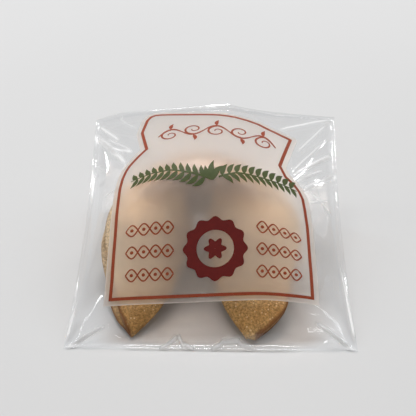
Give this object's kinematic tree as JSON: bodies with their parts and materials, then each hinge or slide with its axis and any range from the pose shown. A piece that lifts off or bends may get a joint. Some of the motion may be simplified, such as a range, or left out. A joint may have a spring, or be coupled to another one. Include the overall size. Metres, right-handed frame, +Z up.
{
  "type": "wrapped fortune cookie",
  "caption": "Folded fortune cookie lying in a clear sealed film bag under a frosted jar-shaped label.",
  "frame": {"origin": "middle of the bounding box, on the floor the bag lies on", "axes": "+Z up; the cookie's two horns and the bag's front seam point along -Y, its crown along +Y; +X to the right seen from the horns"},
  "size_m": [0.0855, 0.0776, 0.0395],
  "materials": {
    "cookie": "baked wafer, golden brown, dry and finely grained, darker at its edges",
    "film": "thin clear glossy film",
    "label": "frosted translucent film, satin, with red-brown and green print"
  },
  "bodies": {
    "root": {"cookie": "cookie", "bag": "film", "label": "label"}
  },
  "joints": []
}
